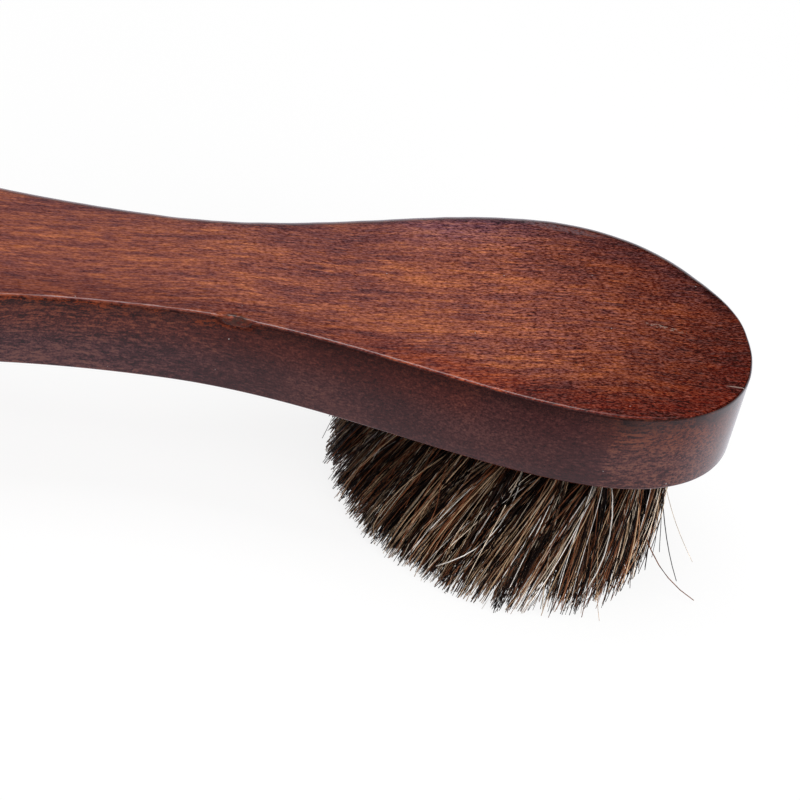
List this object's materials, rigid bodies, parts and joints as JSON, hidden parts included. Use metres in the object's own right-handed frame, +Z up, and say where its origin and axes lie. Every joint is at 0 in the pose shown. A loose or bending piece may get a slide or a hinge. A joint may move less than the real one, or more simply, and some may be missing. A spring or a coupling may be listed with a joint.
{
  "type": "shoe shine brush",
  "caption": "Handled shoe brush: flat stained wooden board with a round head, narrow neck and wider grip, holding a fanned patch of trimmed horsehair tufts for applying polish.",
  "frame": {"origin": "centre of the overall box at the level of the trimmed hair ends", "axes": "+X along the handle towards the tip of the head, +Y across, +Z up out of the flat back"},
  "size_m": [0.17, 0.0474, 0.0272],
  "materials": {
    "stained_wood": "red-brown stain under satin lacquer",
    "horsehair": "natural mixed black, brown and pale hair, slightly glossy",
    "anchor_steel": "plain flat wire"
  },
  "bodies": {
    "root": {"handle": "stained_wood", "tuft_01": "horsehair", "tuft_02": "horsehair", "tuft_03": "horsehair", "tuft_04": "horsehair", "tuft_05": "horsehair", "tuft_06": "horsehair", "tuft_07": "horsehair", "tuft_08": "horsehair", "tuft_09": "horsehair", "tuft_10": "horsehair", "tuft_11": "horsehair", "tuft_12": "horsehair", "tuft_13": "horsehair", "tuft_14": "horsehair", "tuft_15": "horsehair", "tuft_16": "horsehair", "tuft_17": "horsehair", "tuft_18": "horsehair", "tuft_19": "horsehair", "tuft_20": "horsehair", "tuft_21": "horsehair", "tuft_22": "horsehair", "tuft_23": "horsehair", "tuft_24": "horsehair", "tuft_25": "horsehair", "tuft_26": "horsehair", "tuft_27": "horsehair", "tuft_28": "horsehair", "tuft_29": "horsehair", "tuft_30": "horsehair", "tuft_31": "horsehair", "tuft_32": "horsehair", "tuft_33": "horsehair", "tuft_34": "horsehair", "tuft_35": "horsehair", "tuft_36": "horsehair", "tuft_37": "horsehair", "tuft_anchors": "anchor_steel"}
  },
  "joints": []
}
